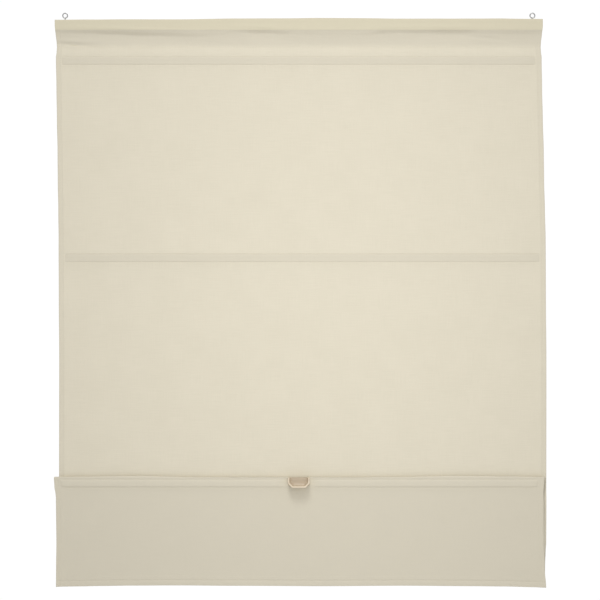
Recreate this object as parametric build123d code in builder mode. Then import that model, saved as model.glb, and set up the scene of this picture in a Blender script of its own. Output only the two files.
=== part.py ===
"""Cordless roman blind with its bottom pleat folded up.

One long cloth hangs from a wooden head batten on two screw eyes. Four thin wooden battens sit in
pockets sewn on the cloth's back. Magnets let into the battens hold each one, once lifted, in front
of the batten above. The lowest batten is lifted one pleat, so the cloth between it and the third
batten hangs in a loop behind it and the cloth below it hangs in front as a flap. The lowest batten
carries a scooped wooden handle.

Frame: +X to the right and -Y towards the room, seen from the room, and +Z up. The origin is midway
between the centres of the two hanging eyes. All sizes are in millimetres.
"""

import os
from math import pi, radians, tan

from build123d import *

os.makedirs("parts", exist_ok=True)

# ---- Driving dimensions: cloth ----------------------------------------------------------------
blind_width = 1000.0
cloth_thickness = 0.8
hem_thickness = 1.6  # cloth turned once, at the sides and along the bottom
side_hem_width = 10.0
bottom_hem_depth = 20.0
sleeve_depth = 55.75  # top of the cloth to the seam that closes the head sleeve
seam_turning = 8.0  # height of the turned-in edge stitched at that seam
seam_margin = 2.0  # cloth of that edge below its stitches

# Levels of the battens, as lengths of cloth
first_batten_drop = 83.25  # top of the cloth to the first batten
upper_pleat = 405.4  # first batten to second
middle_pleat = 462.4  # second to third
lower_pleat = 444.0  # third to fourth, folded away behind the flap
flap_drop = 212.5  # fourth batten to the bottom edge
fold_rise = 12.2  # height of the flap's fold above the fourth batten
loop_radius = 2.0  # inside bend of the hidden loop, to the cloth's middle

# ---- Driving dimensions: head batten and its hanging eyes ---------------------------------------
head_depth = 18.0
head_height = 20.0
head_end_inset = 7.5  # end of the head batten to the cloth's side edge
head_edge_radius = 1.5
eye_spacing = 960.0
eye_outer_diameter = 12.3
eye_wire = 2.5
eye_land = 0.06  # depth of the flat worn inside the ring, where it bears on its hook
eye_lift = 4.0  # underside of the ring to the top of the head batten
eye_shank_length = 17.0  # length in the wood
eye_point = 3.0
eye_hole_clearance = 0.15  # round the shank, in the cloth

# ---- Driving dimensions: battens, pockets and magnets -------------------------------------------
slat_width = 14.0
slat_thickness = 3.0
slat_corner = 6.0
slat_edge = 0.4
slat_end_gap = 2.0  # end of a slat to the end of its pocket
slat_side_gap = 0.3
slat_face_gap = 0.1
tape_thickness = 0.5
pocket_end_inset = 10.4  # end of a pocket's tape to the cloth's side edge
pocket_flange = 2.45  # flat edge of the tape, where it is stitched to the cloth
pocket_corner = 7.5
flap_clearance = 0.3  # fourth batten's pocket to the cloth rising behind it
magnet_diameter = 10.0
magnet_spacing = 700.0
magnet_clearance = 0.05

# ---- Driving dimensions: handle and its screws --------------------------------------------------
handle_width = 44.6
handle_height = 19.6
handle_rise = 3.0  # middle of the handle above the fourth batten's
handle_depth = 22.0
handle_foot_width = 35.0  # flat part of the underside, against the cloth
handle_cheek = 5.0  # height of the sloping part of each side, against the cloth
handle_lip_width = 27.0  # the same two at the front, where the handle is narrower below
handle_lip_cheek = 9.2
handle_wall = 3.0
handle_back = 8.0
handle_dish_radius = 6.0
handle_outline_radius = 3.0
handle_rake = 7.0  # how far the front leans back at the top
handle_edge = 0.8
screw_spacing = 20.0
screw_diameter = 3.0
screw_length = 10.0
screw_head_diameter = 5.6
screw_head_angle = 82.0
screw_point = 1.6  # length of the pointed end
screw_clearance = 0.15
pilot_spare = 1.0

# ---- Places worked out from those -----------------------------------------------------------------
half_width = blind_width / 2
half_cloth = cloth_thickness / 2
head_top = -eye_outer_diameter / 2 - eye_lift
head_bottom = head_top - head_height
cloth_top = head_top + slat_face_gap + cloth_thickness
seam_level = cloth_top - sleeve_depth
batten_levels = [cloth_top - first_batten_drop]
for pleat in (upper_pleat, middle_pleat, 0.0):
    batten_levels.append(batten_levels[-1] - pleat)

pocket_depth = slat_thickness + 2 * slat_face_gap  # room for the slat, front to back
fold_radius = (pocket_depth + tape_thickness + flap_clearance + cloth_thickness) / 2
flap_middle = -2 * loop_radius - 2 * fold_radius
fold_level = batten_levels[3] + fold_rise
loop_drop = (lower_pleat - pi * (loop_radius + fold_radius) - 2 * fold_rise) / 2
loop_level = batten_levels[3] - loop_drop
bottom_edge = batten_levels[3] - flap_drop

# back face of the cloth that each pocket is sewn to
pocket_faces = [half_cloth, half_cloth, half_cloth, flap_middle + half_cloth]

pocket_room_width = slat_width + 2 * slat_side_gap
pocket_shell_width = pocket_room_width + 2 * tape_thickness
pocket_width = pocket_shell_width + 2 * pocket_flange
pocket_length = blind_width - 2 * pocket_end_inset
pocket_shell_length = pocket_length - 2 * pocket_flange
pocket_room_length = pocket_shell_length - 2 * tape_thickness
slat_length = pocket_room_length - 2 * slat_end_gap

eye_radius = (eye_outer_diameter - eye_wire) / 2
eye_bore_radius = eye_radius - eye_wire / 2 + eye_land
shank_radius = eye_wire / 2
shank_holes = [(x, 0.0) for x in (-eye_spacing / 2, eye_spacing / 2)]
screw_places = [(x, batten_levels[3]) for x in (-screw_spacing / 2, screw_spacing / 2)]
sides = {"left": -1, "right": 1}


def facing_room(y):
    """The XZ plane at this depth: its own X is +X, its own Y is +Z, and it faces -Y."""
    return Plane.XZ.offset(-y)


def cloth_run(offset):
    """The cloth's line down the panel, round the loop and over the fold, moved towards its back.

    Each entry is a point (y, z). The second of every three round a bend is the bend's middle.
    """
    rising = -2 * loop_radius - offset
    flap = flap_middle + offset
    loop_bottom = (-loop_radius, loop_level - loop_radius - offset)
    fold_top = ((rising + flap) / 2, fold_level + fold_radius - offset)
    return {
        "panel": [(offset, seam_level), (offset, loop_level)],
        "loop": [(offset, loop_level), loop_bottom, (rising, loop_level)],
        "rise": [(rising, loop_level), (rising, fold_level)],
        "fold": [(rising, fold_level), fold_top, (flap, fold_level)],
        "flap": [(flap, fold_level), (flap, bottom_edge)],
    }


def draw_run(run):
    """Draws one such line inside a BuildLine block."""
    Line(*run["panel"])
    ThreePointArc(*run["loop"])
    Line(*run["rise"])
    ThreePointArc(*run["fold"])
    Line(*run["flap"])


def cloth_layer(back_face):
    """Face between the cloth's front and a line this far towards its back."""
    front, back = cloth_run(-half_cloth), cloth_run(back_face)
    with BuildSketch() as layer:
        with BuildLine():
            draw_run(front)
            draw_run(back)
            Line(front["panel"][0], back["panel"][0])
            Line(front["flap"][1], back["flap"][1])
        make_face()
    return layer.sketch


# ---- Cloth: head sleeve, panel, hidden loop and flap in one length ----------------------------------
sleeve_inside = head_depth / 2 + slat_face_gap
sleeve_outside = sleeve_inside + cloth_thickness
sleeve_shoulder = head_bottom - slat_face_gap
seam_top = seam_level + seam_turning
seam_back = half_cloth + 2 * cloth_thickness
hem_back = hem_thickness - half_cloth

with BuildPart() as cloth:
    with BuildSketch(Plane.YZ):
        with BuildLine():
            Polyline(
                (-sleeve_outside, cloth_top),
                (sleeve_outside, cloth_top),
                (sleeve_outside, sleeve_shoulder),
                (seam_back, seam_top),
                (seam_back, seam_level - seam_margin),
                (-half_cloth, seam_level - seam_margin),
                (-half_cloth, seam_top),
                (-sleeve_outside, sleeve_shoulder),
                close=True,
            )
        make_face()
        with BuildLine():
            Polyline(
                (-sleeve_inside, cloth_top - cloth_thickness),
                (sleeve_inside, cloth_top - cloth_thickness),
                (sleeve_inside, sleeve_shoulder),
                (half_cloth, seam_top),
                (-sleeve_inside, sleeve_shoulder),
                close=True,
            )
        make_face(mode=Mode.SUBTRACT)
        add(cloth_layer(half_cloth))
    extrude(amount=half_width, both=True)
    # side hems, turned to the back
    for side in sides.values():
        with BuildSketch(Plane.YZ.offset(side * (half_width - side_hem_width / 2))):
            add(cloth_layer(hem_back))
        extrude(amount=side_hem_width / 2, both=True)
    # bottom hem, turned to the back of the flap
    with BuildSketch(facing_room(flap_middle - half_cloth)):
        with Locations((0, bottom_edge + bottom_hem_depth / 2)):
            Rectangle(blind_width, bottom_hem_depth)
    extrude(amount=-hem_thickness)
    # holes for the eyes' shanks, in the top of the sleeve
    with BuildSketch(Plane.XY.offset(cloth_top)):
        with Locations(*shank_holes):
            Circle(shank_radius + eye_hole_clearance)
    extrude(amount=-cloth_thickness, mode=Mode.SUBTRACT)
    # holes for the handle's screws, in the flap
    with BuildSketch(facing_room(flap_middle - half_cloth)):
        with Locations(*screw_places):
            Circle(screw_diameter / 2 + screw_clearance)
    extrude(amount=-cloth_thickness, mode=Mode.SUBTRACT)
cloth.part.label = "cloth"
export_step(cloth.part, "parts/cloth.step")

# ---- Head batten: planed softwood, drilled for the eyes --------------------------------------------
with BuildPart() as head_batten:
    with BuildSketch(Plane.XY.offset(head_bottom)):
        Rectangle(blind_width - 2 * head_end_inset, head_depth)
    extrude(amount=head_height)
    fillet(head_batten.edges().filter_by(Axis.X), radius=head_edge_radius)
    with BuildSketch(Plane.XY.offset(head_top)):
        with Locations(*shank_holes):
            Circle(shank_radius)
    extrude(amount=-eye_shank_length, mode=Mode.SUBTRACT)
head_batten.part.label = "head_batten"
export_step(head_batten.part, "parts/head_batten.step")

# ---- Screw eyes: a wire ring facing the room on a pointed shank ------------------------------------
for side_name, side in sides.items():
    eye_x = side * eye_spacing / 2
    with BuildPart() as screw_eye:
        with BuildSketch(Plane.XY.offset(0)):
            with Locations((eye_x + eye_radius, 0)):
                Circle(eye_wire / 2)
        revolve(axis=Axis((eye_x, 0, 0), (0, 1, 0)), revolution_arc=360)
        # the shank runs from the ring's wire down into the wood, and ends in a point
        with BuildSketch(Plane.XZ):
            with BuildLine():
                Polyline(
                    (eye_x, -eye_radius),
                    (eye_x + shank_radius, -eye_radius),
                    (eye_x + shank_radius, head_top - eye_shank_length + eye_point),
                    (eye_x, head_top - eye_shank_length),
                    close=True,
                )
            make_face()
        revolve(axis=Axis((eye_x, 0, 0), (0, 0, 1)), revolution_arc=360)
        # a narrow flat round the inside of the ring
        with BuildSketch(facing_room(-eye_wire)):
            with Locations((eye_x, 0)):
                Circle(eye_bore_radius)
        extrude(amount=-2 * eye_wire, mode=Mode.SUBTRACT)
    screw_eye.part.label = f"screw_eye_{side_name}"
    export_step(screw_eye.part, f"parts/screw_eye_{side_name}.step")

# ---- Battens in their pockets, each with a magnet near either end ----------------------------------
for number, (level, face) in enumerate(zip(batten_levels, pocket_faces), start=1):
    # the pocket is a tape tunnel, open only towards the cloth, with a flat edge for its stitches
    with BuildPart() as pocket:
        with BuildSketch(facing_room(face)):
            with Locations((0, level)):
                RectangleRounded(pocket_length, pocket_width, pocket_corner)
        extrude(amount=-tape_thickness)
        with BuildSketch(facing_room(face)):
            with Locations((0, level)):
                RectangleRounded(
                    pocket_shell_length, pocket_shell_width, slat_corner + tape_thickness
                )
        extrude(amount=-(pocket_depth + tape_thickness))
        with BuildSketch(facing_room(face)):
            with Locations((0, level)):
                RectangleRounded(pocket_room_length, pocket_room_width, slat_corner)
        extrude(amount=-pocket_depth, mode=Mode.SUBTRACT)
    pocket.part.label = f"batten_pocket_{number}"
    export_step(pocket.part, f"parts/batten_pocket_{number}.step")

    slat_front = face + slat_face_gap
    with BuildPart() as batten:
        with BuildSketch(facing_room(slat_front)):
            with Locations((0, level)):
                RectangleRounded(slat_length, slat_width, slat_corner)
        extrude(amount=-slat_thickness)
        chamfer(batten.faces().filter_by(Axis.Y).edges(), length=slat_edge)
        with BuildSketch(facing_room(slat_front)):
            with Locations((-magnet_spacing / 2, level), (magnet_spacing / 2, level)):
                Circle(magnet_diameter / 2 + magnet_clearance)
        extrude(amount=-slat_thickness, mode=Mode.SUBTRACT)
        if number == 4:
            # the handle's screws come through from behind, with their heads sunk flush
            with Locations(Plane.XZ.offset(-(slat_front + slat_thickness)).rotated((180, 0, 0))):
                with Locations(*[(x, -z) for x, z in screw_places]):
                    CounterSinkHole(
                        radius=screw_diameter / 2 + screw_clearance,
                        counter_sink_radius=screw_head_diameter / 2 + screw_clearance,
                        depth=slat_thickness,
                        counter_sink_angle=screw_head_angle,
                    )
    batten.part.label = f"batten_{number}"
    export_step(batten.part, f"parts/batten_{number}.step")

    for side_name, side in sides.items():
        with BuildPart() as magnet:
            with BuildSketch(facing_room(slat_front)):
                with Locations((side * magnet_spacing / 2, level)):
                    Circle(magnet_diameter / 2)
            extrude(amount=-slat_thickness)
            chamfer(magnet.edges().filter_by(GeomType.CIRCLE), length=slat_edge / 2)
        magnet.part.label = f"magnet_{number}_{side_name}"
        export_step(magnet.part, f"parts/magnet_{number}_{side_name}.step")

# ---- Handle: one block of pale hardwood, scooped out from the front and top ---------------------------
handle_face = flap_middle - half_cloth  # front of the flap, which the handle is screwed against
handle_front = handle_face - handle_depth
handle_level = batten_levels[3] + handle_rise
half_height = handle_height / 2
screw_back = pocket_faces[3] + slat_face_gap + slat_thickness
screw_tip = screw_back - screw_length
screw_head_height = (screw_head_diameter - screw_diameter) / 2 / tan(radians(screw_head_angle / 2))


def handle_outline(flat_width, cheek, margin, top):
    """Outline of the handle seen from the room, drawn this far inside it, up to a given height.

    flat_width is the underside's flat part and cheek the height of the sloping part of each side.
    """
    # a wall along a sloping side keeps its thickness, so the slope's ends move by different amounts
    slope = (handle_width - flat_width) / 2
    slope_length = (slope**2 + cheek**2) ** 0.5
    side_x = handle_width / 2 - margin
    knee_z = cheek - half_height + margin * (slope_length - cheek) / slope
    foot_x = flat_width / 2 - margin * (slope_length - slope) / cheek
    foot_z = margin - half_height
    with BuildSketch(Plane.XY.offset(0)) as outline:
        with BuildLine():
            Polyline(
                (-side_x, top),
                (side_x, top),
                (side_x, knee_z),
                (foot_x, foot_z),
                (-foot_x, foot_z),
                (-side_x, knee_z),
                close=True,
            )
        make_face()
        fillet(outline.vertices().filter_by(lambda v: v.Y < top - handle_edge), handle_outline_radius)
        fillet(outline.vertices().filter_by(lambda v: v.Y == top), handle_edge)
    return outline.sketch


with BuildPart() as handle:
    with BuildSketch(facing_room(handle_face)):
        with Locations((0, handle_level)):
            add(handle_outline(handle_foot_width, handle_cheek, 0.0, half_height))
    with BuildSketch(facing_room(handle_front)):
        with Locations((0, handle_level)):
            add(handle_outline(handle_lip_width, handle_lip_cheek, 0.0, half_height))
    loft(ruled=True)
    # the front leans back from the lip to the top
    with BuildSketch(Plane.YZ):
        with BuildLine():
            Polyline(
                (handle_front, handle_level - half_height),
                (handle_front + handle_rake, handle_level + half_height),
                (handle_front, handle_level + half_height),
                close=True,
            )
        make_face()
    extrude(amount=handle_width / 2, both=True, mode=Mode.SUBTRACT)
    fillet(handle.faces().sort_by(Axis.Y)[0].edges(), radius=handle_edge)
    # the scoop is a dished hollow, open at the front and at the top
    with BuildPart(mode=Mode.PRIVATE) as scoop:
        with BuildSketch(facing_room(handle_face - handle_back)):
            with Locations((0, handle_level)):
                add(handle_outline(handle_lip_width, handle_lip_cheek, handle_wall, handle_height))
        extrude(amount=handle_depth)
        floor_edges = scoop.faces().sort_by(Axis.Y)[-1].edges()
        fillet(
            floor_edges.filter_by(lambda e: e.center().Z < handle_level + half_height),
            radius=handle_dish_radius,
        )
    add(scoop.part, mode=Mode.SUBTRACT)
    # pilot holes for the screws, a little deeper than their points
    with BuildSketch(facing_room(handle_face)):
        with Locations(*screw_places):
            Circle(screw_diameter / 2)
    extrude(amount=handle_face - screw_tip + pilot_spare, mode=Mode.SUBTRACT)
handle.part.label = "handle"
export_step(handle.part, "parts/handle.step")

# ---- Handle screws: flat heads, pointed, driven from behind the fourth batten -------------------------
for (screw_x, screw_z), side_name in zip(screw_places, sides):
    with BuildPart() as screw:
        with BuildSketch(Plane.XY.offset(screw_z)):
            with BuildLine():
                Polyline(
                    (screw_x, screw_back),
                    (screw_x + screw_head_diameter / 2, screw_back),
                    (screw_x + screw_diameter / 2, screw_back - screw_head_height),
                    (screw_x + screw_diameter / 2, screw_tip + screw_point),
                    (screw_x, screw_tip),
                    close=True,
                )
            make_face()
        revolve(axis=Axis((screw_x, 0, screw_z), (0, 1, 0)), revolution_arc=360)
    screw.part.label = f"handle_screw_{side_name}"
    export_step(screw.part, f"parts/handle_screw_{side_name}.step")

let_down = first_batten_drop + upper_pleat + middle_pleat + lower_pleat + flap_drop
print(f"cloth from its top to its bottom edge, let down: {let_down:.1f} mm")
print(f"batten levels: {[round(level, 2) for level in batten_levels]}")
print(f"flap {flap_middle:.2f}, fold {fold_level:.2f}, loop {loop_level:.2f}, hem {bottom_edge:.2f}")
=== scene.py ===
import math

import bmesh
import bpy
from mathutils import Matrix, Vector, noise


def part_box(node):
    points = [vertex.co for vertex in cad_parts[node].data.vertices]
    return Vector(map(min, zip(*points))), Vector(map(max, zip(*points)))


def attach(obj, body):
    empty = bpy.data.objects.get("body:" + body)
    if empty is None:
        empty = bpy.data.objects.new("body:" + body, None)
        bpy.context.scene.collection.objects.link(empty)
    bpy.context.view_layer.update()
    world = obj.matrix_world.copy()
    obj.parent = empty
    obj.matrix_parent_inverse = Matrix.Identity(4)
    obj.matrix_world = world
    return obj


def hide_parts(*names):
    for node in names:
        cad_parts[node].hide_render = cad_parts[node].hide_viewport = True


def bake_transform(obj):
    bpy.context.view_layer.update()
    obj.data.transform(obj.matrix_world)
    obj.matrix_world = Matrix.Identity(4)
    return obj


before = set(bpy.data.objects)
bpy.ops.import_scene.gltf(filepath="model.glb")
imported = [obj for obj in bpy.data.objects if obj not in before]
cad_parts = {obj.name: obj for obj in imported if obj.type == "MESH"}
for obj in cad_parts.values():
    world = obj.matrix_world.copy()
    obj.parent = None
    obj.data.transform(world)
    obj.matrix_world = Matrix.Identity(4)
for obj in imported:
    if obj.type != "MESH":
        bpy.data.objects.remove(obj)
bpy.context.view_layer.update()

mm = 0.001

# ---- Studio --------------------------------------------------------------------------------------
# The blind hangs in front of white paper, lit evenly from all round, with a tall soft lamp facing its
# middle, one higher up in front and one higher up behind.
lens = bpy.data.cameras.new("camera")
lens.lens = 102.2
lens.sensor_width = 36
camera = bpy.data.objects.new("camera", lens)
camera.location = (2.5 * mm, -3.5, -584.3 * mm)
camera.rotation_euler = (math.radians(90), 0, 0)
bpy.context.scene.collection.objects.link(camera)
bpy.context.scene.camera = camera
bpy.context.scene.view_settings.view_transform = "Standard"


def soft_lamp(name, place, aim, width, height, watts):
    """A rectangular area lamp at place, facing aim, that doesn't show itself."""
    data = bpy.data.lights.new(name, "AREA")
    data.shape = "RECTANGLE"
    data.size = width
    data.size_y = height
    data.energy = watts
    lamp = bpy.data.objects.new(name, data)
    lamp.location = place
    lamp.rotation_euler = (Vector(aim) - Vector(place)).to_track_quat("-Z", "Y").to_euler()
    lamp.visible_camera = False
    bpy.context.scene.collection.objects.link(lamp)


soft_lamp("lamp_front", (0.08, -0.97, -0.56), (0.08, 0, -0.56), 0.5, 1.2, 3.88)
soft_lamp("lamp_above", (-0.25, -2.6, 2.7), (0, 0, -0.5), 1.3, 1.3, 61)
soft_lamp("lamp_behind", (0.8, 2.9, 1.9), (0, 0, -0.6), 1.3, 1.3, 60)

sky = bpy.data.worlds.new("paper")
bpy.context.scene.world = sky
sky.use_nodes = True
seen = sky.node_tree.nodes.new("ShaderNodeLightPath")
strength = sky.node_tree.nodes.new("ShaderNodeMapRange")
strength.inputs["To Min"].default_value = 0.468
strength.inputs["To Max"].default_value = 1.02
paper = sky.node_tree.nodes["Background"]
paper.inputs["Color"].default_value = (1, 1, 1, 1)
sky.node_tree.links.new(seen.outputs["Is Camera Ray"], strength.inputs["Value"])
sky.node_tree.links.new(strength.outputs["Result"], paper.inputs["Strength"])


# ---- Upper cloth: head sleeve and the panel down to the second batten ----------------------------
# One length of undyed cotton, plain weave. Its top edge is turned over the head batten and stitched
# down behind, which makes the sleeve. Below it the cloth falls past two stitched pockets.
class Wire:
    """The output of a node in a material being made; arithmetic on it adds Math nodes."""

    def __init__(self, tree, socket):
        self.tree = tree
        self.socket = socket

    def made(self, kind, settings=None, values=None, output=0):
        """An output of a new node, with its settings set first, then its sockets' values or wires."""
        node = self.tree.nodes.new(kind)
        for key, value in (settings or {}).items():
            setattr(node, key, value)
        for key, value in (values or {}).items():
            if isinstance(value, Wire):
                self.tree.links.new(value.socket, node.inputs[key])
            else:
                node.inputs[key].default_value = value
        return Wire(self.tree, node.outputs[output])

    def maths(self, operation, *others):
        """The result of a Math node on self and the others."""
        return self.made("ShaderNodeMath", {"operation": operation}, dict(enumerate((self, *others))))

    def __add__(self, other):
        return self.maths("ADD", other)

    def __sub__(self, other):
        return self.maths("SUBTRACT", other)

    def __rsub__(self, other):
        return self.maths("MULTIPLY_ADD", -1.0, other)

    def __mul__(self, other):
        return self.maths("MULTIPLY", other)

    def __truediv__(self, other):
        return self.maths("DIVIDE", other)

    def __pow__(self, other):
        return self.maths("POWER", other)

    __radd__ = __add__
    __rmul__ = __mul__

    def between(self, low, high):
        """Rises smoothly from 0 at low to 1 at high."""
        return self.made(
            "ShaderNodeMapRange",
            {"interpolation_type": "SMOOTHSTEP"},
            {"Value": self, "From Min": low, "From Max": high},
        )

    def stretched(self, x, y, z):
        """The coordinates in self, scaled along each axis."""
        return self.made("ShaderNodeMapping", {}, {"Vector": self, "Scale": (x, y, z)})

    def speckle(self, scale, detail=2.0, roughness=0.5):
        """Noise from 0 to 1 on the coordinates in self."""
        values = {"Vector": self, "Scale": scale, "Detail": detail, "Roughness": roughness}
        return self.made("ShaderNodeTexNoise", {}, values)

    def blended(self, first, second):
        """Colour first where self is 0 and second where it is 1."""
        settings = {"data_type": "RGBA"}
        return self.made("ShaderNodeMix", settings, {0: self, 6: first, 7: second}, 2)

    def bumped(self, height, distance):
        """A normal from this bump height, in metres at distance."""
        return self.made("ShaderNodeBump", {}, {"Height": height, "Distance": distance})


def new_material(name, coordinates):
    """An empty material, and a wire of its Object or UV coordinates."""
    material = bpy.data.materials.new(name)
    material.use_nodes = True
    tree = material.node_tree
    node = tree.nodes.new("ShaderNodeTexCoord")
    return material, Wire(tree, node.outputs[coordinates])


def finish_material(material, wires, **steady):
    """Connects the wires to the material's shader and sets its steady values."""
    shader = material.node_tree.nodes["Principled BSDF"]
    for key, wire in wires.items():
        material.node_tree.links.new(wire.socket, shader.inputs[key])
    for key, value in steady.items():
        shader.inputs[key.replace("_", " ")].default_value = value
    return material


def woven(name, pale, deep, pitch, shade_behind=(), sheen=0.12):
    """Plain weave with this yarn pitch, following the cloth's own flat coordinates in metres.

    Its fifth argument holds painted shade colours, for where less daylight comes through because a
    batten, a hem or more cloth lies behind; each comes over a range of the stored shade amount.
    """
    material, flat = new_material(name, "UV")
    across = flat.made("ShaderNodeSeparateXYZ", {}, {"Vector": flat}, 0)
    along = flat.made("ShaderNodeSeparateXYZ", {}, {"Vector": flat}, 1)
    turns = 2 * math.pi / (2 * pitch)
    # over-and-under of the yarns
    warp = (across * turns).maths("SINE")
    weft = (along * turns).maths("SINE")
    weave = warp * weft * 0.5 + 0.5
    # thick and thin yarns run as long faint streaks both ways
    weft_slubs = flat.stretched(25, 700, 1).speckle(1.0, 3.0)
    warp_slubs = flat.stretched(700, 25, 1).speckle(1.0, 3.0)
    clouds = flat.speckle(16.0, 4.0, 0.55)
    tone = 0.42 * weft_slubs + 0.30 * warp_slubs + 0.28 * clouds
    colour = tone.between(0.34, 0.66).blended(deep, pale)
    # painted shade: the colour is darkened where something lies behind the cloth, for the daylight that
    # doesn't come through
    for low, high, over in shade_behind:
        behind = flat.made("ShaderNodeAttribute", {"attribute_name": "backing_shade"}, {}, 2)
        mottled = 0.955 + 0.09 * tone
        painted_shade = flat.made(
            "ShaderNodeMix",
            {"data_type": "RGBA", "blend_type": "MULTIPLY"},
            {0: 1.0, 6: mottled, 7: over},
            2,
        )
        colour = ((behind - low) / (high - low)).blended(colour, painted_shade)
    height = 0.55 * weave + 0.45 * (0.5 * weft_slubs + 0.5 * warp_slubs)
    normal = flat.bumped(height, 0.12 * mm)
    rough = 0.86 + 0.1 * (tone - 0.5)
    finish_material(
        material,
        {"Base Color": colour, "Normal": normal, "Roughness": rough},
        Sheen_Weight=sheen,
        Sheen_Roughness=0.5,
        Specular_IOR_Level=0.25,
    )
    return material


# where a batten, a hem or more cloth lies behind it, less daylight comes through: painted shade makes it
# greyer
cotton = woven(
    "cotton",
    pale=(0.775, 0.717, 0.580, 1),
    deep=(0.739, 0.683, 0.548, 1),
    pitch=0.55 * mm,
    shade_behind=[(0.0, 0.7, (0.688, 0.636, 0.515, 1)), (0.8, 1.0, (0.700, 0.644, 0.488, 1))],
)

head_low, head_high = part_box("head_batten")
slat_boxes = [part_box(f"batten_{number}") for number in range(1, 5)]
slat_levels = [(low.z + high.z) / 2 for low, high in slat_boxes]
blind_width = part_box("cloth")[1].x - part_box("cloth")[0].x
half_width = blind_width / 2
visible_thickness = 0.55 * mm
stitch_reach = 8.25 * mm  # a pocket's stitch lines, above and below its batten's middle
stitch_end = 487.4 * mm  # the end of a pocket's stitches, to either side
seam_level = -65 * mm  # the seam that closes the sleeve
side_hem = 10.5 * mm  # width of the turned cloth at each side
pocket_zone = 11 * mm  # closely spaced rows, either side of a batten's middle
line_zone = 2.75 * mm  # closely spaced rows, either side of a line of stitches


def bell(distance, width):
    """1 at a distance of 0, falling smoothly to nothing over a few widths."""
    return math.exp(-((distance / width) ** 2))


def smooth(value, low, high):
    """Rises smoothly from 0 at low to 1 at high."""
    t = min(max((value - low) / (high - low), 0.0), 1.0)
    return t * t * (3 - 2 * t)


def ripple(x, z, size, seed):
    """Smooth random waviness between about -1 and 1, with features of this size."""
    return noise.noise(Vector((x / size, z / size, seed * 17.3))) * 1.6


def through(points, x):
    """Value at x, both in millimetres, of a smooth curve through these points. Takes x in metres."""
    x = x / mm
    if x <= points[0][0]:
        return points[0][1] * mm
    for (x0, v0), (x1, v1) in zip(points, points[1:]):
        if x <= x1:
            return (v0 + (v1 - v0) * smooth(x, x0, x1)) * mm
    return points[-1][1] * mm


def pocket_relief(x, z, level, bulge, turn, seed):
    """How far back a pocket's stitches and slat leave the cloth's front; less than 0 is forward.

    The slat lies on the bottom of its pocket and holds the cloth flat and a little forward, until it
    turns in to the lower stitch line over a height of turn. Both lines pucker the cloth.
    """
    inside = smooth(stitch_end - abs(x), 0, 3 * mm)
    below_foot = level - stitch_reach - z
    above_top = z - level - stitch_reach
    swell = (1 - smooth(below_foot, -turn, 0.2 * mm)) * (1 - smooth(above_top, -6 * mm, 0.3 * mm))
    relief = -bulge * swell * (1 + 0.15 * ripple(x, level, 45 * mm, seed))
    pucker = 1 + 0.5 * ripple(x, level * 3, 7 * mm, seed + 1)
    relief += 0.46 * mm * pucker * bell(below_foot, 1.1 * mm)
    relief += 0.24 * mm * pucker * bell(above_top, 1.1 * mm)
    # the cloth above is drawn in towards the upper line
    relief += 0.42 * mm * math.exp(-max(above_top, 0) / (4 * mm)) * smooth(above_top, -2.5 * mm, 0)
    near = math.exp(-abs(below_foot) / (7 * mm)) + math.exp(-abs(above_top) / (7 * mm))
    relief += 0.12 * mm * ripple(x, level * 5, 10 * mm, seed + 2) * near
    return relief * inside


def fall_back(x, below, seed):
    """How far back the cloth goes at this distance below a pocket; it turns in under the slat."""
    uneven = 1 + 0.25 * ripple(x, seed, 110 * mm, seed)
    free_edge = smooth(half_width + 5 * mm - abs(x), 0, 45 * mm)
    return 1.7 * mm * uneven * free_edge * (1 - math.exp(-max(below, 0) / (8 * mm)))


def hem_relief(x):
    """The step over a side hem, whose turned cloth lies behind, and the groove of its stitches."""
    from_hem = abs(x) - (half_width - side_hem)
    groove = 0.30 * mm * bell(from_hem - 1.6 * mm, 0.9 * mm)
    return groove - 0.28 * mm * smooth(from_hem, -0.8 * mm, 0.2 * mm)


# half-width of the panel and how far it hangs to the right of the head, at these levels
panel_half = [(-1180, 500.6), (-500, 500.4), (-330, 499.6), (-130, 498.9), (-86, 498.9), (-75, 497.5),
              (-64, 496.9), (-56, 497.3), (-40, 498.7), (-20, 500.1), (0, 500.3)]
panel_drift = [(-1165, 4.6), (-1125, 4.8), (-1100, 5.9), (-1080, 7.2), (-1010, 7.6), (-950, 8.0),
               (-700, 8.3), (-585, 7.4), (-460, 6.9), (-400, 5.8), (-340, 4.4), (-280, 3.8),
               (-215, 2.2), (-150, 1.0), (-90, 0.0)]


def panel_x(x, z):
    """Where a column of the cloth hangs on the panel at this level."""
    return x * through(panel_half, z) / half_width + through(panel_drift, z)


def panel_depth(x, z):
    """How far back the panel's cloth hangs at this place; less than 0 is towards the room."""
    held = 1.0
    for batten in slat_levels[:3]:
        held *= 1 - 0.85 * bell(z - batten, 45 * mm)
    depth = held * (0.9 * mm * ripple(x, z * 0.6, 260 * mm, 1) + 0.2 * mm * ripple(x, z, 70 * mm, 2))
    # the cloth swells forward between the sleeve's seam and the first pocket
    depth += 0.3 * mm * bell(z - seam_level, 7 * mm) - 0.3 * mm * bell(z - seam_level + 12 * mm, 7 * mm)
    depth += 0.06 * mm * bell(z - seam_level, 1.0 * mm) * (1 + ripple(x, 0, 8 * mm, 4))
    for number, batten in enumerate(slat_levels[:3]):
        below = batten - stitch_reach - z
        if abs(z - batten) < 40 * mm:
            depth += pocket_relief(x, z, batten, 0.25 * mm, 1.5 * mm, 5 * number + 5)
        if 0 < below < 140 * mm:
            depth += fall_back(x, below, 50 + number) * (1 - smooth(below, 30 * mm, 140 * mm))
    return depth + hem_relief(x)


def columns(coarse):
    """Places across the cloth, closer at the side hems."""
    edge = [500, 499.2, 497.5, 494, 492, 491.2, 490.4, 489.6, 488.8, 488, 487.2, 486.2, 485.2, 483, 481]
    inner = round(2 * 478 * mm / coarse)
    middle = [-478 * mm + 2 * 478 * mm * k / inner for k in range(inner + 1)]
    return [-x * mm for x in edge] + middle + [x * mm for x in reversed(edge)]


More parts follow.
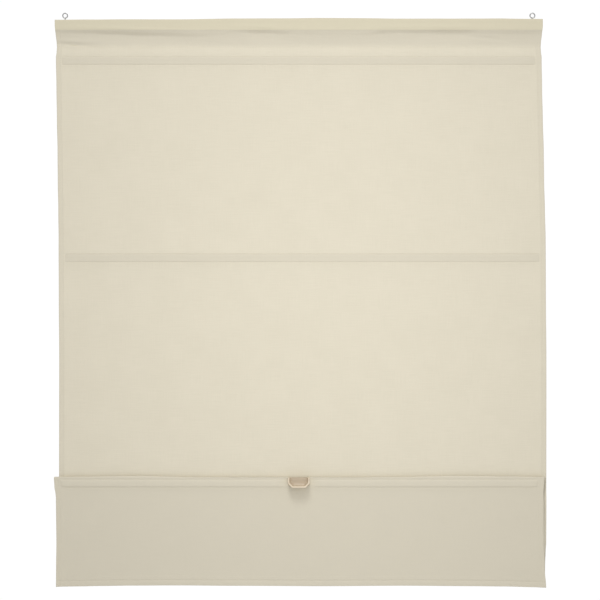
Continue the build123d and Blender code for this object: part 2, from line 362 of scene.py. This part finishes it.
def run(low, high, step):
    """Even steps from low to high, without the last."""
    count = max(1, round(abs(high - low) / step))
    return [low + (high - low) * k / count for k in range(count)]


def past_stitches(line):
    """Close rows across a line of stitches, going down."""
    return run(line + line_zone, line - line_zone, 0.5 * mm)


def past_pocket(level):
    """Rows down past a pocket, from pocket_zone above its batten's middle to as far below."""
    upper, lower = level + stitch_reach, level - stitch_reach
    between = run(upper - line_zone, lower + line_zone, 1.8 * mm)
    return past_stitches(upper) + between + past_stitches(lower)


def new_piece(name, shape, material):
    """The shape as an object of its own, in this material."""
    data = bpy.data.meshes.new(name)
    shape.to_mesh(data)
    shape.free()
    for face in data.polygons:
        face.use_smooth = True
    data.materials.append(material)
    piece = bpy.data.objects.new(name, data)
    bpy.context.scene.collection.objects.link(piece)
    return piece


def cloth_piece(name, body_rows, place, shade_behind, coarse=4 * mm):
    """A strip of cloth: a grid whose points are put at place(x, row), with its flat size as its UV map.

    body_rows holds one (along, row) pair per row: its distance along the flat cloth, and what place
    needs to find it. The argument after place, called with (x, row), gives how much lies behind the
    cloth there, from 0 to 1, and so how much painted shade it gets.
    """
    across = columns(coarse)
    shape = bmesh.new()
    bmesh.ops.create_grid(shape, x_segments=len(across) - 1, y_segments=len(body_rows) - 1, size=0.5)
    uv = shape.loops.layers.uv.new("flat")
    # how much painted shade each point of the cloth gets
    backing_shade = shape.verts.layers.float.new("backing_shade")
    flat_places = {}
    for vert in shape.verts:
        x = across[round((vert.co.x + 0.5) * (len(across) - 1))]
        along, row = body_rows[round((0.5 - vert.co.y) * (len(body_rows) - 1))]
        flat_places[vert] = (x, along)
        vert[backing_shade] = shade_behind(x, row)
        vert.co = place(x, row)
    for face in shape.faces:
        for corner in face.loops:
            corner[uv].uv = flat_places[corner.vert]
    bmesh.ops.reverse_faces(shape, faces=shape.faces)
    piece = new_piece(name, shape, cotton)
    wall = piece.modifiers.new("thickness", "SOLIDIFY")
    wall.thickness = visible_thickness
    wall.offset = 0
    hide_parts("cloth")
    return piece


def hem_shade(x):
    """Painted shade where a side hem's turned cloth lies behind; its fold at the very edge gets the darkest,
    a painted shadow.
    """
    turned = smooth(abs(x), half_width - side_hem - 0.8 * mm, half_width - side_hem)
    return 0.3 * turned + 0.35 * smooth(abs(x), half_width - 2.2 * mm, half_width - 0.8 * mm)


def pocket_shade(x, z, level):
    """Where a batten lies behind the cloth, which gets painted shade there."""
    inside = smooth(stitch_end - abs(x), 0, 1 * mm)
    return inside * smooth(stitch_reach - abs(z - level), -0.3 * mm, 1.0 * mm)


def panel_place(x, z):
    """Where a point of the cloth hangs on the panel."""
    return Vector((panel_x(x, z), panel_depth(x, z), z))


def panel_shade(x, z):
    """How much of a side hem or a batten lies behind the panel, which sets its painted shade."""
    behind = max(pocket_shade(x, z, slat_levels[0]), pocket_shade(x, z, slat_levels[1]))
    return max(hem_shade(x), 0.55 * behind)


# below the head batten the sleeve's front ply leans back to the seam, in soft uneven folds
front_face = head_low.y - 0.45 * mm
back_face = head_high.y + 0.45 * mm
sleeve_top = head_high.z + 0.3 * mm
corner = 1.8 * mm
seam_foot = seam_level - 2 * mm
back_ply = 1.3 * mm  # the sleeve's back ply at its seam, behind the panel
second_line = slat_levels[1] + stitch_reach

# how far the slack sleeve stands above the batten, along it
sleeve_crown = [(-492, 0.0), (-428, 0.4), (-346, 1.1), (-243, 1.0), (-129, 3.2), (-30, 3.6), (43, 4.5),
                (117, 4.1), (207, 2.9), (350, 2.9), (412, 3.2), (494, 2.1)]
# the crease in the sleeve's front, just under the batten: its level and its depth along the batten
crease_level = [(-490, -30.5), (-450, -30.5), (-385, -31.5), (-319, -34.0), (-213, -36.5), (-160, -34),
                (-120, -28.0), (-70, -29.5), (-32, -31.5), (60, -33.5), (140, -34), (181, -30),
                (242, -29.2), (337, -29.2), (380, -31), (490, -31.8)]
crease_depth = [(-495, 0.5), (-450, 0.9), (-400, 1.5), (-340, 1.9), (-290, 1.4), (-213, 0.8), (-170, 0.3),
                (-125, 0.5), (-80, 1.6), (-50, 1.3), (0, 0.35), (100, 0.25), (140, 0.6), (181, 1.0),
                (242, 1.3), (310, 1.9), (337, 1.7), (370, 0.6), (440, 0.7), (495, 0.6)]

upper_rows = []


def add_upper(ply, y, z):
    """Adds a row; ply says which of the sleeve's faces or the panel it belongs to."""
    along = 0.0
    if upper_rows:
        along = upper_rows[-1][0] + math.dist(upper_rows[-1][1][1:], (y, z))
    upper_rows.append((along, (ply, y, z)))


sleeve_lean = head_low.z - seam_level
for z in run(seam_foot, seam_level + 8 * mm, 2 * mm):
    add_upper("back", back_ply, z)
for z in run(seam_level + 8 * mm, head_low.z, 3 * mm):
    lean = (z - seam_level) / sleeve_lean
    add_upper("back", back_ply + (back_face - back_ply) * lean**1.6, z)
for z in run(head_low.z, sleeve_top - corner, 3 * mm):
    add_upper("back", back_face, z)
for turn in run(0, 90, 18):
    a = math.radians(turn)
    add_upper("top", back_face - corner + corner * math.cos(a), sleeve_top - corner + corner * math.sin(a))
for y in run(back_face - corner, front_face + corner, 2.0 * mm):
    add_upper("top", y, sleeve_top)
for turn in run(90, 180, 18):
    a = math.radians(turn)
    add_upper("top", front_face + corner + corner * math.cos(a), sleeve_top - corner + corner * math.sin(a))
for z in run(sleeve_top - corner, head_low.z + 6 * mm, 1.6 * mm):
    add_upper("front", front_face, z)
for z in run(head_low.z + 6 * mm, head_low.z - 12 * mm, 0.8 * mm):
    add_upper("front", front_face, z)
for z in run(head_low.z - 12 * mm, seam_level + 3 * mm, 1.5 * mm):
    add_upper("front", front_face, z)
for z in run(seam_level + 3 * mm, seam_level, 0.6 * mm):
    add_upper("front", 0.0, z)
panel_levels = run(seam_level, seam_level - 3 * mm, 0.6 * mm)
panel_levels += run(seam_level - 3 * mm, slat_levels[0] + pocket_zone, 1.5 * mm)
panel_levels += past_pocket(slat_levels[0])
panel_levels += run(slat_levels[0] - pocket_zone, slat_levels[0] - 40 * mm, 2.5 * mm)
panel_levels += run(slat_levels[0] - 40 * mm, second_line + 20 * mm, 6.5 * mm)
panel_levels += run(second_line + 20 * mm, second_line + 3 * mm, 2.4 * mm)
panel_levels += run(second_line + 3 * mm, second_line, 0.5 * mm) + [second_line]
for z in panel_levels:
    add_upper("panel", 0.0, z)


def front_depth(x, z):
    """How far back the sleeve's front stands; it is cloth on the batten, then cloth leaning back."""
    below = head_low.z - z
    lean = min(max(below / sleeve_lean, 0.0), 1.0)
    foot = panel_depth(x, seam_level)
    depth = front_face + (foot - front_face) * (1 - (1 - lean) ** 1.4)
    # the cloth swells over the batten's edge, turns in under it and then comes back to its lean
    level, deep = through(crease_level, x), through(crease_depth, x)
    under = min(level, head_low.z + 1.0 * mm) - z
    depth += 1.8 * deep * smooth(under, 0, 8 * mm) * (1 - smooth(under, 6 * mm, 34 * mm))
    depth -= 0.55 * deep * bell(z - level - 4.5 * mm, 4 * mm)
    # a second crease near the left end, and slack folds near the right one
    depth += 1.3 * mm * bell(z + 60.5 * mm + (x + 450 * mm) * 0.08, 4.2 * mm) * bell(x + 470 * mm, 40 * mm)
    depth -= 1.0 * mm * bell(z + 53.5 * mm, 5 * mm) * bell(x + 470 * mm, 34 * mm)
    depth += 0.8 * mm * bell(z + 46 * mm + (x - 380 * mm) * 0.1, 4 * mm) * bell(x - 385 * mm, 45 * mm)
    depth += 0.3 * mm * ripple(x, z, 38 * mm, 10) * smooth(below, 0, 8 * mm) * smooth(1 - lean, 0, 0.3)
    depth -= 0.12 * mm * (1 + ripple(x, z, 45 * mm, 11)) * smooth(-below, 0, 8 * mm)
    return min(depth, front_face + 0.12 * mm) if z > head_low.z - 0.6 * mm else depth


def upper_place(x, row):
    """Where a point of the sleeve or the panel hangs."""
    ply, y, z = row
    if ply == "panel":
        return panel_place(x, z)
    across = panel_x(x, z)
    crown = through(sleeve_crown, x)
    if ply == "top":
        rounded = 1 - 0.35 * ((y / back_face) ** 2)
        return Vector((across, y, z + crown * rounded + 0.12 * mm * ripple(x, y, 40 * mm, 12)))
    lifted = z + 0.65 * crown * smooth(z, -24 * mm, sleeve_top - corner)
    if ply == "front":
        return Vector((across, front_depth(x, z) + hem_relief(x) * 0.6, lifted))
    wobble = 0.35 * mm * ripple(x, z, 50 * mm, 13) * smooth(head_low.z - z, 0, 12 * mm)
    return Vector((across, y + wobble, lifted))


def upper_shade(x, row):
    """How much painted shade the sleeve or the panel gets; the head batten and the other ply lie behind the
    sleeve's.
    """
    ply, y, z = row
    if ply == "panel":
        return panel_shade(x, z)
    if ply == "front":
        # painted shade on the sleeve's front: some where the back ply lies behind it above the seam, more
        # over the batten
        behind = 0.5 * smooth(z - seam_level, -1 * mm, 9 * mm)
        shade_over_wood = 0.5 * smooth(z, head_low.z - 5 * mm, head_low.z + 1 * mm)
        return max(hem_shade(x), behind) + shade_over_wood
    return 1.0


cloth_upper = cloth_piece("cloth_upper", upper_rows, upper_place, upper_shade)
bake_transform(cloth_upper)

# ---- Middle cloth: the panel from the second batten to the third ---------------------------------
# The same length of cloth, smooth and flat, down to where the flap hides it.
third_line = slat_levels[2] + stitch_reach
lower_line = second_line - 2 * stitch_reach
middle_levels = run(second_line, second_line - line_zone, 0.5 * mm)
middle_levels += run(second_line - line_zone, lower_line + line_zone, 1.8 * mm)
middle_levels += past_stitches(lower_line)
middle_levels += run(lower_line - line_zone, lower_line - 40 * mm, 2.5 * mm)
middle_levels += run(lower_line - 40 * mm, third_line + 20 * mm, 6.5 * mm)
middle_levels += run(third_line + 20 * mm, third_line, 2.0 * mm) + [third_line]
middle_rows = [(upper_rows[-1][0] + second_line - z, z) for z in middle_levels]

cloth_middle = cloth_piece("cloth_middle", middle_rows, panel_place, panel_shade)
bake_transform(cloth_middle)

# ---- Hidden loop: falling and rising plies behind the flap ---------------------------------------
# Below the third batten the cloth falls behind the flap, turns up and rises to the flap's fold. When
# the flap is let down, this is the cloth that unfolds. It hangs lowest at the left.
loop_gap = 4.0 * mm  # between the falling and rising plies
loop_level = slat_levels[3] - 202.9 * mm  # where the loop turns up
fold_level = slat_levels[3] + 12.2 * mm  # where the flap's fold begins
flap_middle = -8.8 * mm  # the plane of the flap, in front of the panel's
# how far the loop's foot is raised, along it; less than 0 is lower
loop_foot = [(-500, -4.6), (-465, -4.6), (-435, -3.8), (-405, -2.0), (-370, -0.8), (400, 0.0), (500, -1.0)]


def loop_sag(x, z):
    """How far the loop's uneven foot raises the cloth here; less than 0 is lower."""
    return through(loop_foot, x) * smooth(fold_level - z, 0, fold_level - loop_level)


falling = run(third_line, slat_levels[2] - 12 * mm, 1.6 * mm)
falling += run(slat_levels[2] - 12 * mm, loop_level, 8 * mm)
falling_rows = [(third_line - z, ("fall", 0.0, z)) for z in falling]
for turn in run(0, 180, 15) + [180]:
    a = math.radians(turn)
    y = -loop_gap / 2 + loop_gap / 2 * math.cos(a)
    z = loop_level - loop_gap / 2 * math.sin(a)
    falling_rows.append((third_line - loop_level + loop_gap / 2 * a, ("turn", y, z)))


def falling_place(x, row):
    """Where a point of the falling ply, or of the turn at its foot, hangs."""
    part, y, z = row
    if part == "fall":
        above_turn = smooth(z, loop_level, loop_level + 30 * mm)
        # towards its sides it lies close behind the rising ply
        nearer = 4.0 * mm * smooth(abs(x), 380 * mm, 480 * mm) * smooth(slat_levels[2] - z, 12 * mm, 34 * mm)
        y = (panel_depth(x, z) - nearer) * above_turn
    return Vector((panel_x(x, z), y, z + loop_sag(x, z)))


def loop_shade(x, row):
    """Only the side hems lie behind the loop's plies, which get painted shade there."""
    return hem_shade(x)


cloth_loop_back = cloth_piece("cloth_loop_back", falling_rows, falling_place, loop_shade, 9 * mm)
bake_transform(cloth_loop_back)

rising_rows = [(z - loop_level, z) for z in run(loop_level, fold_level, 8 * mm) + [fold_level]]
rising_rows.reverse()
flap_drift = 2.2 * mm  # how far the flap hangs to the right of the head


def rising_x(x, z):
    """The rising ply leans over from the loop's place to the flap's."""
    risen = (z - loop_level) / (fold_level - loop_level)
    return panel_x(x, loop_level) + (flap_drift - through(panel_drift, loop_level)) * min(max(risen, 0), 1)


def rising_place(x, z):
    """The ply lies against the flap towards its sides."""
    against = smooth(abs(x), 330 * mm, 480 * mm)
    against *= smooth(fold_level - z, 22 * mm, 46 * mm) * smooth(z - loop_level, 0, 30 * mm)
    y = -loop_gap * (1 - against) + (flap_middle + flap_depth(x, z) + 1.0 * mm) * against
    return Vector((rising_x(x, z), y, z + loop_sag(x, z)))


# ---- Flap: the cloth's last stretch, folded over the fourth batten -------------------------------
# It turns over above the fourth batten's pocket and hangs straight to a 20 mm hem, turned to the
# back and stitched. Its corners flare a little and its fold stands highest over the magnets.
hem_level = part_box("cloth")[0].z
hem_depth = 20 * mm
hem_stitch = 11.5 * mm  # the hem's stitches, above the bottom edge
fold_radius = (-loop_gap - flap_middle) / 2
fourth = slat_levels[3]
# how far its fold is raised, along the flap; less than 0 is lower
fold_height = [(-500, -1.2), (-430, -0.7), (-340, 0.5), (-200, -1.8), (-60, -2.8), (80, -2.8), (200, -1.4),
               (320, 0.6), (420, -0.2), (500, -1.4)]
# its two side edges, at these levels
flap_left = [(-1173, -497.7), (-1130, -497.5), (-1080, -496.8), (-991, -497.6), (-983, -498.4),
             (-967, -500.8), (-950, -501.8)]
flap_right = [(-1173, 507.0), (-1130, 504.0), (-1060, 501.4), (-985, 501.5), (-950, 503.5)]
# how far its foot is raised, along the flap; less than 0 is lower
flap_foot = [(-500, 0.4), (-490, 0.9), (-450, 1.2), (-410, 2.0), (-346, 2.8), (-243, 3.2),
             (-129, 2.5), (43, 1.6), (207, 2.7), (351, 1.7), (412, 1.1), (474, -0.3), (500, -1.2)]
flap_rows = []
for turn in run(0, 180, 15):
    a = math.radians(turn)
    y = (-loop_gap + flap_middle) / 2 + fold_radius * math.cos(a)
    flap_rows.append((fold_radius * a, ("fold", y, fold_level + fold_radius * math.sin(a))))
flap_levels = run(fold_level, fourth + pocket_zone, 0.6 * mm) + past_pocket(fourth)
flap_levels += run(fourth - pocket_zone, fourth - 40 * mm, 2.5 * mm)
flap_levels += run(fourth - 40 * mm, hem_level + hem_depth + 3 * mm, 5.5 * mm)
flap_levels += run(hem_level + hem_depth + 3 * mm, hem_level, 0.7 * mm) + [hem_level]
for z in flap_levels:
    flap_rows.append((fold_radius * math.pi + fold_level - z, ("flap", flap_middle, z)))


def flap_x(x, z):
    """Where a column of the cloth hangs on the flap at this level."""
    left, right = through(flap_left, z), through(flap_right, z)
    return left + (right - left) * (x + half_width) / blind_width


def flap_depth(x, z):
    """How far back the flap's front hangs from its plane."""
    below = smooth(fourth - z, 10 * mm, 90 * mm)
    depth = below * (0.6 * mm * ripple(x, z * 0.5, 230 * mm, 21) + 0.2 * mm * ripple(x, z, 60 * mm, 22))
    depth += fall_back(x, fourth - stitch_reach - z, 60) + 0.4 * mm * smooth(fourth - z, 20 * mm, 200 * mm)
    # the handle is screwed through the cloth to the batten and holds it flat
    free_of_handle = smooth(abs(x), 22 * mm, 42 * mm)
    if abs(z - fourth) < 40 * mm:
        depth += pocket_relief(x, z, fourth, 0.95 * mm * free_of_handle, 4 * mm, 30)
    up = z - hem_level
    depth -= 0.10 * mm * smooth(hem_depth - up, 0, 1.2 * mm)
    depth += 0.40 * mm * bell(up - hem_stitch, 1.1 * mm) * (1 + 0.5 * ripple(x, 0, 8 * mm, 33))
    depth -= 0.35 * mm * bell(up - 4.5 * mm, 4 * mm)
    return depth + hem_relief(x)


def flap_place(x, row):
    """Where a point of the flap, or of the fold above it, hangs."""
    part, y, z = row
    if part == "fold":
        front = smooth(-y, loop_gap, -flap_middle)
        across = rising_x(x, fold_level) * (1 - front) + flap_x(x, fold_level) * front
        lift = through(fold_height, x) * smooth(z, fold_level - 1 * mm, fold_level + fold_radius)
        return Vector((across, y + flap_depth(x, fold_level) * front, z + lift))
    raised = through(flap_foot, x) * smooth(fourth - z, 30 * mm, 205 * mm)
    return Vector((flap_x(x, z), y + flap_depth(x, z), z + raised))


cloth_loop_front = cloth_piece("cloth_loop_front", rising_rows, rising_place, loop_shade, 9 * mm)
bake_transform(cloth_loop_front)


def flap_shade(x, row):
    """More of the cloth lies behind all of the flap, which all gets painted shade."""
    return 0.7


cloth_flap = cloth_piece("cloth_flap", flap_rows, flap_place, flap_shade)
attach(cloth_flap, "fourth_batten")

# ---- Batten pockets: strips of cotton tape sewn to the cloth's back ------------------------------
# Each is a narrow tape stitched all round, close to its edge, with the batten in the room that it
# leaves. The tape stands up over the batten and lies flat at the edges.
tape_cotton = woven("tape_cotton", pale=(0.80, 0.755, 0.62, 1), deep=(0.74, 0.69, 0.555, 1), pitch=0.7 * mm)
tape_half_length = 489.6 * mm
tape_half_width = 10.25 * mm
tape_corner = 7.5 * mm
tape_thickness = 0.5 * mm
pocket_front = 0.4 * mm  # the batten's room begins here, behind the cloth's plane
batten_room = 3.2 * mm  # from there to the tape
set_bodies = ["head", "second_batten", "third_batten", "fourth_batten"]


def lying_behind(number, x, z):
    """Where a point of the cloth's back is, behind the pocket of this batten."""
    if number == 4:
        return Vector((x, flap_middle + flap_depth(x, z), z))
    return Vector((x + 0.35 * through(panel_drift, z), panel_depth(x, z), z))


for number, level in enumerate(slat_levels, start=1):
    lengthways = [x * mm for x in (-489.6, -489, -488, -487, -486, -485, -484, -483, -481.5, -480, -476)]
    lengthways += run(-470 * mm, 470 * mm, 7 * mm) + [-x for x in reversed(lengthways)]
    crossways = [v * mm for v in (-10.25, -9.6, -8.9, -8.25, -7.8, -7.3, -6.6, -5, -2.5, 0)]
    crossways += [-v for v in reversed(crossways[:-1])]
    shape = bmesh.new()
    bmesh.ops.create_grid(
        shape, x_segments=len(lengthways) - 1, y_segments=len(crossways) - 1, size=0.5
    )
    uv = shape.loops.layers.uv.new("flat")
    places = {}
    for vert in shape.verts:
        x = lengthways[round((vert.co.x + 0.5) * (len(lengthways) - 1))]
        v = crossways[round((vert.co.y + 0.5) * (len(crossways) - 1))]
        # the ends are rounded: rows near the sides stop short
        past = max(0.0, abs(v) - (tape_half_width - tape_corner))
        short = tape_corner - math.sqrt(max(tape_corner**2 - past**2, 0.0))
        x_here = x * (tape_half_length - short) / tape_half_length
        from_edge = min(tape_half_width - abs(v), tape_half_length - short - abs(x_here))
        risen = smooth(from_edge, 2.3 * mm, 5.0 * mm)
        cloth_at = lying_behind(number, x_here, level + v)
        flat_back = 0.0 if number < 4 else flap_middle
        stitched = cloth_at.y + (visible_thickness + tape_thickness) / 2
        standing = flat_back + pocket_front + batten_room + tape_thickness / 2
        sag = 0.12 * mm * ripple(x, v, 30 * mm, 40 + number) * risen
        y = stitched + (standing - stitched) * risen + sag
        vert.co = (cloth_at.x, y, level + v)
        places[vert] = (x_here, v)
    for face in shape.faces:
        for corner_of_face in face.loops:
            corner_of_face[uv].uv = places[corner_of_face.vert]
    tape = new_piece(f"tape_{number}", shape, tape_cotton)
    wall = tape.modifiers.new("thickness", "SOLIDIFY")
    wall.thickness = tape_thickness
    wall.offset = 0
    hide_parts(f"batten_pocket_{number}")
    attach(tape, set_bodies[number - 1])

# ---- Stitches: lockstitch in cotton thread -------------------------------------------------------
# Short stitches, evenly pulled, show on both faces of the cloth: round each pocket, along the
# sleeve's seam, down the side hems and along the bottom hem.
thread = woven("thread", pale=(0.76, 0.71, 0.575, 1), deep=(0.70, 0.655, 0.53, 1), pitch=0.2 * mm,
               sheen=0.05)
stitch_pitch = 3.2 * mm
thread_width = 0.55 * mm
thread_rise = 0.06 * mm  # how far the thread's middle stands off the cloth
seam_end = 489 * mm  # the end of the sleeve's seam, to either side
hem_end = 497 * mm  # the end of the bottom hem's stitches
side_stitch = 9.0 * mm  # the side hems' stitches, in from the edge
handle_room = 24 * mm  # the handle covers the stitches this far to either side


def stitches(name, rows):
    """Stitches along rows of points; each row is a list of places, and one stitch lies at each."""
    shape = bmesh.new()
    for row in rows:
        for here, after in zip(row, row[1:]):
            along = after - here
            if along.length < 0.4 * stitch_pitch:
                continue
            turn = along.to_track_quat("X", "Z").to_matrix().to_4x4()
            size = Matrix.Diagonal((0.36 * along.length, thread_width / 2, thread_width / 2, 1))
            place = Matrix.Translation((here + after) / 2) @ turn @ size
            bmesh.ops.create_icosphere(shape, subdivisions=1, radius=1.0, matrix=place)
    uv = shape.loops.layers.uv.new("flat")
    for face in shape.faces:
        for corner_of_face in face.loops:
            corner_of_face[uv].uv = corner_of_face.vert.co.xz
    piece = new_piece(name, shape, thread)
    return piece


def spaced(low, high):
    """Even steps of about one stitch from low to high."""
    count = round(abs(high - low) / stitch_pitch)
    return [low + (high - low) * k / count for k in range(count + 1)]


def pocket_outline():
    """Places round a pocket's stitches, from its middle: along, over a rounded end, and back."""
    radius = 5.5 * mm
    straight = stitch_end - radius
    outline = [(x, stitch_reach) for x in spaced(-straight, straight)]
    for turn in (70, 35, 0, -35, -70):
        a = math.radians(turn)
        up = (stitch_reach - radius) * (1 if turn > 0 else -1 if turn < 0 else 0)
        outline.append((straight + radius * math.cos(a), up + radius * math.sin(a)))
    outline += [(-x, -z) for x, z in outline]
    return outline + outline[:1]


front_lift = visible_thickness / 2 + thread_rise
for number, level in enumerate(slat_levels, start=1):
    on_front, on_back = [], []
    for x, v in pocket_outline():
        z = level + v
        if number == 4:
            if abs(x) < handle_room:
                continue
            front = flap_place(x, ("flap", flap_middle, z))
        else:
            front = panel_place(x, z)
        behind = lying_behind(number, x, z)
        on_front.append(Vector((front.x, front.y - front_lift, front.z)))
        behind.y += visible_thickness / 2 + tape_thickness + thread_rise
        on_back.append(behind)
    rows = [on_back]
    broken = [k for k, (p, q) in enumerate(zip(on_front, on_front[1:])) if (q - p).length > 20 * mm]
    first = 0
    for k in broken + [len(on_front) - 1]:
        rows.append(on_front[first:k + 1])
        first = k + 1
    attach(stitches(f"stitches_pocket_{number}", rows), set_bodies[number - 1])

along_seam = spaced(-seam_end, seam_end)
seam_rows = [
    [panel_place(x, seam_level) - Vector((0, front_lift, 0)) for x in along_seam],
    [Vector((panel_x(x, seam_level), back_ply + front_lift, seam_level)) for x in along_seam],
]
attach(stitches("stitches_sleeve", seam_rows), "head")

hem_x = half_width - side_stitch


def down_side(place, low, high, lift):
    """Both side hems' stitches between two levels, on the front of the cloth that place puts there."""
    return [[place(side * hem_x, z) + Vector((0, lift, 0)) for z in spaced(high, low)] for side in (-1, 1)]


upper_sides = stitches("stitches_sides_upper", down_side(panel_place, second_line, seam_level, -front_lift)
                       + down_side(panel_place, second_line, seam_level, front_lift))
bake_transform(upper_sides)
middle_sides = stitches("stitches_sides_middle", down_side(panel_place, third_line, second_line, -front_lift)
                        + down_side(panel_place, third_line, second_line, front_lift))
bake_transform(middle_sides)


def on_flap(x, z):
    """Where a point of the cloth hangs on the flap's front."""
    return flap_place(x, ("flap", flap_middle, z))


flap_stitches = down_side(on_flap, hem_level + 2 * mm, fold_level, -front_lift)
flap_stitches += down_side(on_flap, hem_level + 2 * mm, fold_level, front_lift)
for lift in (-front_lift, front_lift):
    hem_line = hem_level + hem_stitch
    flap_stitches.append([on_flap(x, hem_line) + Vector((0, lift, 0)) for x in spaced(-hem_end, hem_end)])
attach(stitches("stitches_flap", flap_stitches), "fourth_batten")

# ---- Head batten and battens: planed wood --------------------------------------------------------
# The head batten is knot-free softwood with open growth rings. The four thin battens are a paler,
# finer wood. All are left unfinished.


def timber(name, pale, deep, pith, ring, fibre, rough):
    """Wood grown round a line along X at pith, with rings this far apart; ends show them as arcs."""
    material, spot = new_material(name, "Object")
    wander = spot.stretched(5, 30, 30).speckle(1.0, 3.0)
    across = spot.made("ShaderNodeSeparateXYZ", {}, {"Vector": spot}, 1) - pith[0]
    up = spot.made("ShaderNodeSeparateXYZ", {}, {"Vector": spot}, 2) - pith[1]
    radius = (across * across + up * up) ** 0.5
    rings = (radius / ring + 2.4 * wander).maths("FRACT")
    late = rings.between(0.55, 0.95) - rings.between(0.96, 1.0)
    fibres = spot.stretched(18, fibre, fibre).speckle(1.0, 4.0, 0.6)
    broad = spot.stretched(4, 60, 60).speckle(1.0, 2.0)
    tone = 0.5 * late + 0.3 * fibres + 0.2 * broad
    colour = tone.between(0.12, 0.85).blended(pale, deep)
    normal = spot.bumped(0.7 * fibres + 0.3 * late, 0.10 * mm)
    surface = rough + 0.12 * (fibres - 0.5)
    return finish_material(material, {"Base Color": colour, "Roughness": surface, "Normal": normal})


head_timber = timber("head_timber", (0.76, 0.60, 0.40, 1), (0.60, 0.42, 0.24, 1), (60 * mm, -40 * mm),
                     2.6 * mm, 900, 0.62)
slat_timber = timber("slat_timber", (0.78, 0.65, 0.47, 1), (0.66, 0.51, 0.33, 1), (-90 * mm, 30 * mm),
                     1.5 * mm, 1400, 0.6)


def give(node, material):
    """Puts this finish on a part of the frame."""
    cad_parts[node].data.materials.clear()
    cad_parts[node].data.materials.append(material)


give("head_batten", head_timber)
for number in range(1, 5):
    give(f"batten_{number}", slat_timber)

# ---- Handle: oiled hardwood ----------------------------------------------------------------------
# One block of pale, close-grained wood with short dark flecks along the grain, scooped out, rubbed
# smooth and oiled. Its hollow is painted darker, as painted shade.
handle_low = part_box("handle")[0]
handle_wood, spot = new_material("handle_wood", "Object")
grain = spot.stretched(40, 420, 700).speckle(1.0, 4.0, 0.55)
bands = spot.stretched(9, 60, 130).speckle(1.0, 2.0)
flecks = spot.stretched(330, 1500, 2300).speckle(1.0, 1.0).between(0.66, 0.72)
tone = 0.55 * grain + 0.45 * bands
wood_colour = tone.between(0.3, 0.7).blended((0.735, 0.635, 0.485, 1), (0.64, 0.525, 0.38, 1))
wood_colour = (0.4 * flecks).blended(wood_colour, (0.45, 0.31, 0.19, 1))
spot_x = spot.made("ShaderNodeSeparateXYZ", {}, {"Vector": spot}, 0)
spot_y = spot.made("ShaderNodeSeparateXYZ", {}, {"Vector": spot}, 1)
spot_z = spot.made("ShaderNodeSeparateXYZ", {}, {"Vector": spot}, 2)
# painted shade in the hollow, which lies behind the rim, between the cheeks and above the lip
hollow_shade = spot_y.between(handle_low.y + 1.5 * mm, handle_low.y + 6.5 * mm)
hollow_shade = hollow_shade * spot_x.maths("ABSOLUTE").between(19.8 * mm, 18.4 * mm)
hollow_shade = hollow_shade * spot_z.between(handle_low.z + 2.2 * mm, handle_low.z + 4.5 * mm)
# darker wood colour of the painted shade in the hollow
hollow_shade_colour = grain.between(0.2, 0.8).blended((0.54, 0.44, 0.318, 1), (0.46, 0.37, 0.258, 1))
wood_colour = (0.92 * hollow_shade).blended(wood_colour, hollow_shade_colour)
finish_material(
    handle_wood,
    {
        "Base Color": wood_colour,
        "Roughness": 0.42 + 0.16 * (grain - 0.5),
        "Normal": spot.bumped(0.8 * grain - 0.5 * flecks, 0.05 * mm),
    },
    Coat_Weight=0.12,
    Coat_Roughness=0.35,
)
give("handle", handle_wood)

# ---- Eyes, screws and magnets: bright metal ------------------------------------------------------
# The eyes are bent from zinc-plated steel wire, dulled by handling. The handle's screws are of the
# same steel, and the magnets are nickel-plated discs pressed into the battens.


def metal(name, bright, dull, rough, scale):
    """Plated metal with faint cloudy wear and fine scratches."""
    material, spot = new_material(name, "Object")
    clouds = spot.speckle(scale, 4.0, 0.6)
    scratches = spot.stretched(300, 4000, 900).speckle(1.0, 2.0)
    wear = 0.7 * clouds + 0.3 * scratches
    colour = wear.between(0.3, 0.7).blended(dull, bright)
    surface = rough + 0.25 * (0.5 - clouds) + 0.08 * (scratches - 0.5)
    normal = spot.bumped(scratches, 0.015 * mm)
    wires = {"Base Color": colour, "Roughness": surface, "Normal": normal}
    return finish_material(material, wires, Metallic=1.0)


zinc = metal("zinc", (0.60, 0.60, 0.61, 1), (0.42, 0.42, 0.43, 1), 0.38, 700)
screw_zinc = metal("screw_zinc", (0.70, 0.70, 0.70, 1), (0.52, 0.52, 0.52, 1), 0.33, 900)
nickel = metal("nickel", (0.78, 0.77, 0.75, 1), (0.66, 0.65, 0.63, 1), 0.22, 500)
for side in ("left", "right"):
    give(f"screw_eye_{side}", zinc)
    give(f"handle_screw_{side}", screw_zinc)
    for number in range(1, 5):
        give(f"magnet_{number}_{side}", nickel)

# ---- Floor ---------------------------------------------------------------------------------------
# Pale matt board, lying below the blind's full drop.
floor_level = -1.70
floor_shape = bmesh.new()
bmesh.ops.create_grid(floor_shape, x_segments=1, y_segments=1, size=1)
bmesh.ops.scale(floor_shape, vec=(2.6, 2.0, 1), verts=floor_shape.verts)
bmesh.ops.translate(floor_shape, vec=(0, 0.2, floor_level), verts=floor_shape.verts)
floor_data = bpy.data.meshes.new("floor")
floor_shape.to_mesh(floor_data)
floor_shape.free()
floor = bpy.data.objects.new("floor", floor_data)
bpy.context.scene.collection.objects.link(floor)

pale_floor, spot = new_material("pale_floor", "Object")
shade = spot.speckle(3.0, 4.0)
finish_material(
    pale_floor,
    {"Base Color": shade.between(0.2, 0.8).blended((0.80, 0.80, 0.79, 1), (0.83, 0.83, 0.82, 1))},
    Roughness=0.8,
)
floor.data.materials.append(pale_floor)
